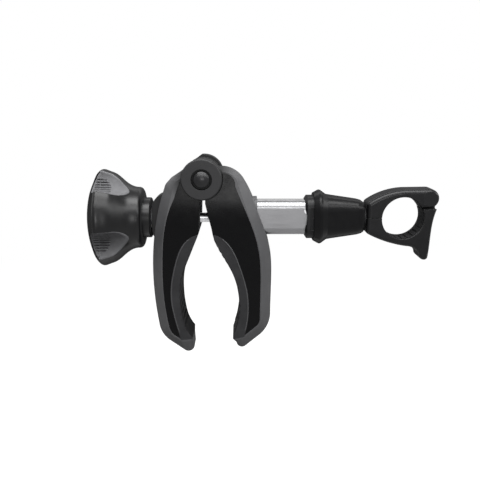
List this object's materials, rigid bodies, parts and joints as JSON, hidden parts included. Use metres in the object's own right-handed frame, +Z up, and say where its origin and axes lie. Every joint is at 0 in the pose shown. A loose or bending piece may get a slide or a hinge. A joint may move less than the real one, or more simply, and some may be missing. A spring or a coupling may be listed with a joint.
{
  "type": "bicycle frame holder",
  "caption": "Carrier arm with a hinged rail clamp at one end and two padded jaws closed by a lobed torque knob at the other.",
  "frame": {"origin": "centre of the rail bore", "axes": "+X along the arm towards the free end of the rail clamp, +Y along the rail, +Z up with the jaws hanging down"},
  "size_m": [0.282, 0.0786, 0.1639],
  "materials": {
    "jaw_frame": "satin moulded nylon",
    "cover": "fine matt grain",
    "pad": "soft ribbed rubber",
    "clamp": "satin moulded nylon",
    "liner": "grooved rubber",
    "pin_cap": "satin",
    "steel_pin": "bright zinc",
    "hinge_head": "black coated",
    "tube": "satin anodised",
    "plug": "plain moulded",
    "collar": "satin",
    "sleeve": "satin",
    "seat": "plain black",
    "knob": "soft satin",
    "knob_cap": "soft satin",
    "grip": "ribbed soft grip",
    "inner_plastic": "plain moulded",
    "inner_metal": "plain",
    "spring": "plain spring steel"
  },
  "bodies": {
    "rail_clamp": {"clamp_upper": "clamp", "upper_liner": "liner", "clamp_pin": "steel_pin", "clamp_pin_caps": "pin_cap", "swivel_pin": "steel_pin", "swivel_nut": "steel_pin"},
    "clamp_jaw": {"clamp_lower": "clamp", "lower_liner": "liner"},
    "arm": {"arm_tube": "tube", "end_plug": "plug", "tube_rivets": "steel_pin", "end_collar": "collar", "sleeve_spring": "spring", "right_jaw": "jaw_frame", "right_front_cover": "cover", "right_back_cover": "cover", "right_pad": "pad", "hinge_pin": "hinge_head", "hinge_nut": "steel_pin"},
    "sleeve": {"lock_sleeve": "sleeve"},
    "moving_jaw": {"left_jaw": "jaw_frame", "left_front_cover": "cover", "left_back_cover": "cover", "left_pad": "pad"},
    "rod": {"clamping_rod": "steel_pin", "rod_trunnion": "steel_pin", "rod_end_nut": "steel_pin"},
    "seat": {"rocker_seat": "seat", "thrust_washer": "steel_pin"},
    "knob": {"knob_body": "knob", "knob_cap": "knob_cap", "knob_grips": "grip", "drive_hub": "inner_metal", "click_ring": "inner_plastic", "torque_spring": "spring", "spring_retainer": "inner_metal"}
  },
  "joints": [
    {"name": "clamp_hinge", "type": "hinge", "parent": "rail_clamp", "child": "clamp_jaw", "pos_m": [0.0206, 0, 0.0158], "axis": [0, -1, 0], "range_deg": [0, 55]},
    {"name": "arm_swivel", "type": "hinge", "parent": "rail_clamp", "child": "arm", "pos_m": [-0.045, 0, 0], "axis": [1, 0, 0], "range_deg": [-90, 90]},
    {"name": "sleeve_slide", "type": "slide", "parent": "arm", "child": "sleeve", "axis": [-1, 0, 0], "range_m": [0, 0.004], "stiffness_N_per_m": 400, "springref_m": -0.002, "deforming": ["sleeve_spring"]},
    {"name": "seat_slide", "type": "slide", "parent": "rod", "child": "seat", "axis": [1, 0, 0], "range_m": [-0.00931, 0.00669]},
    {"name": "knob_spin", "type": "hinge", "parent": "seat", "child": "knob", "pos_m": [-0.23, 0, -0.0008], "axis": [1, 0, 0], "range_deg": [-2695.3, 1937.2]},
    {"name": "rod_tilt", "type": "hinge", "parent": "arm", "child": "rod", "pos_m": [-0.14, 0, -0.0008], "axis": [0, -1, 0], "range_deg": [-9.54, 6.85]},
    {"name": "jaw_hinge", "type": "hinge", "parent": "arm", "child": "moving_jaw", "pos_m": [-0.1612, 0, 0.033], "axis": [0, -1, 0], "range_deg": [-16.08, 11.56]}
  ],
  "couplings": [
    {"joint": "knob_spin", "follows": "seat_slide", "rad_per_m": 5026.5},
    {"joint": "rod_tilt", "follows": "seat_slide", "rad_per_m": 17.783},
    {"joint": "jaw_hinge", "follows": "seat_slide", "rad_per_m": 29.988}
  ]
}
